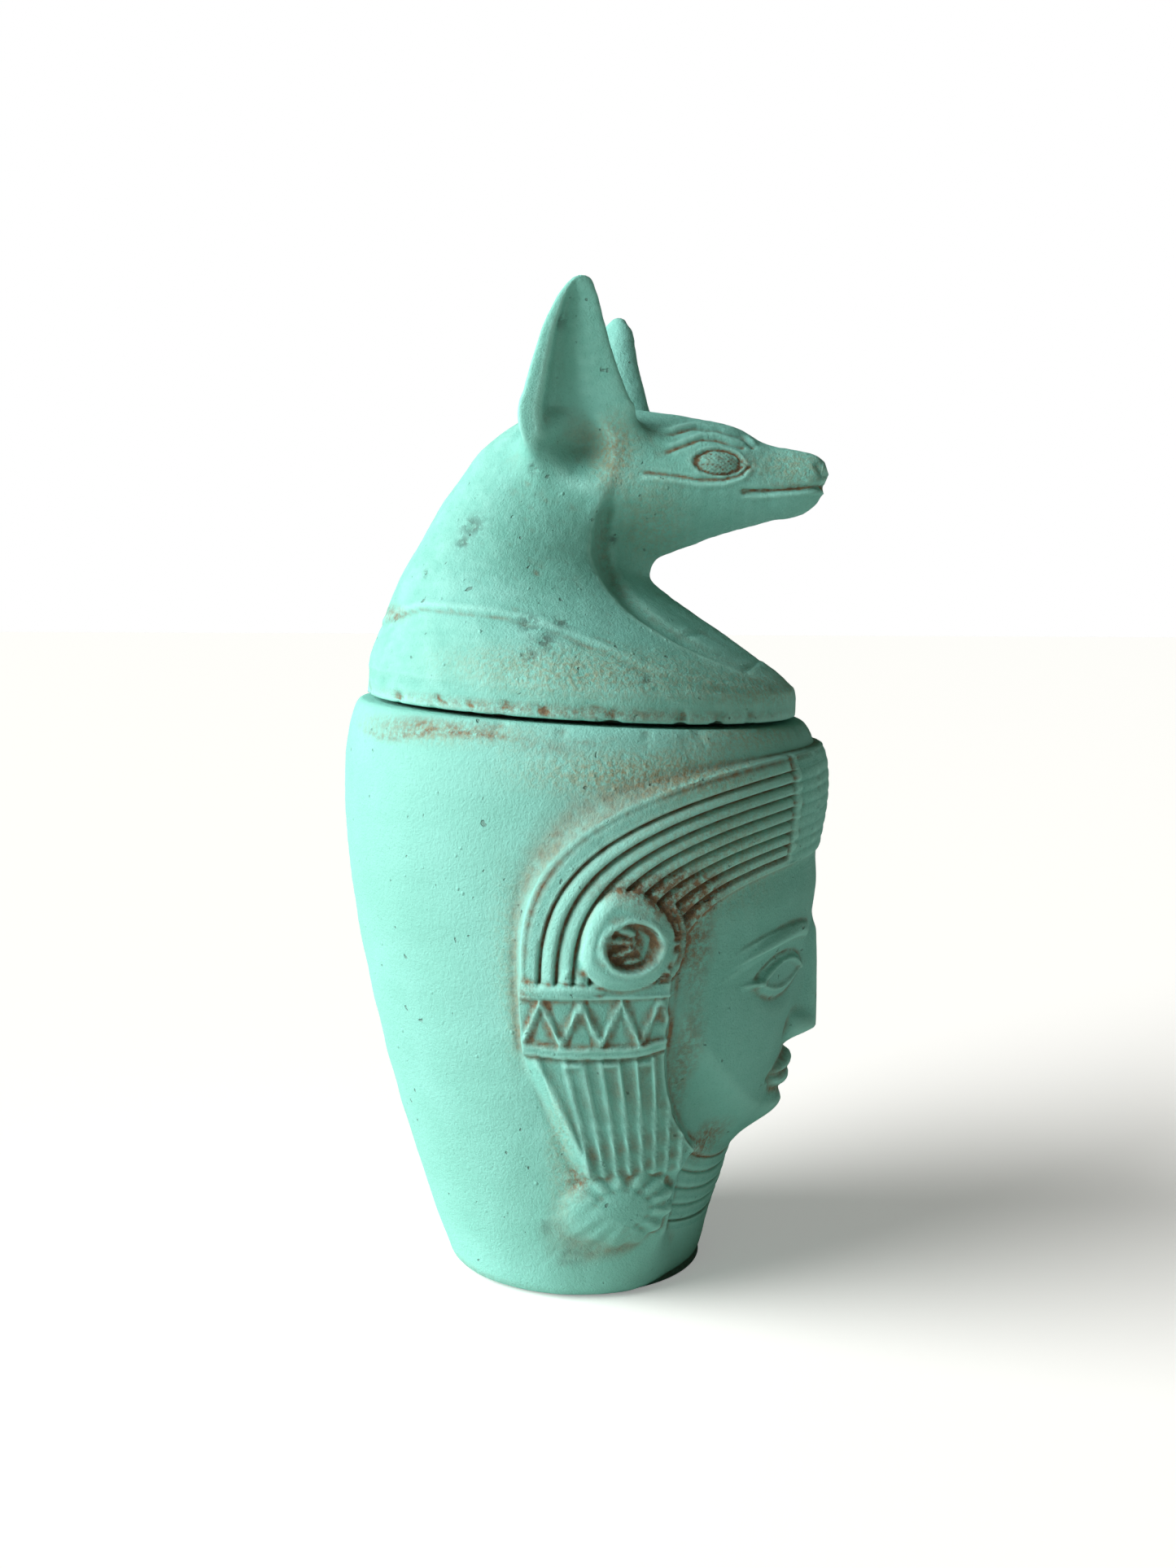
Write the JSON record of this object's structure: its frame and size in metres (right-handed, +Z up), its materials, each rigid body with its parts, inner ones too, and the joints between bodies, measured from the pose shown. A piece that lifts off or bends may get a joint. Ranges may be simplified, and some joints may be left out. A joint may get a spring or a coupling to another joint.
{
  "type": "canopic jar",
  "caption": "Souvenir canopic jar: a hollow, tapering stone vessel with a wigged face in relief and a lift-off jackal-head lid.",
  "frame": {"origin": "centre of the flat underside that the jar stands on", "axes": "+Z up, -Y towards the front: the carved face and the jackal's muzzle look that way"},
  "size_m": [0.1284, 0.1268, 0.2497],
  "materials": {
    "jar_stone": "chalky green paint over cast stone, brown wash in the hollows",
    "lid_stone": "chalky green paint over cast stone, brown wash in the hollows"
  },
  "bodies": {
    "root": {"jar": "jar_stone", "jackal_lid": "lid_stone"}
  },
  "joints": []
}
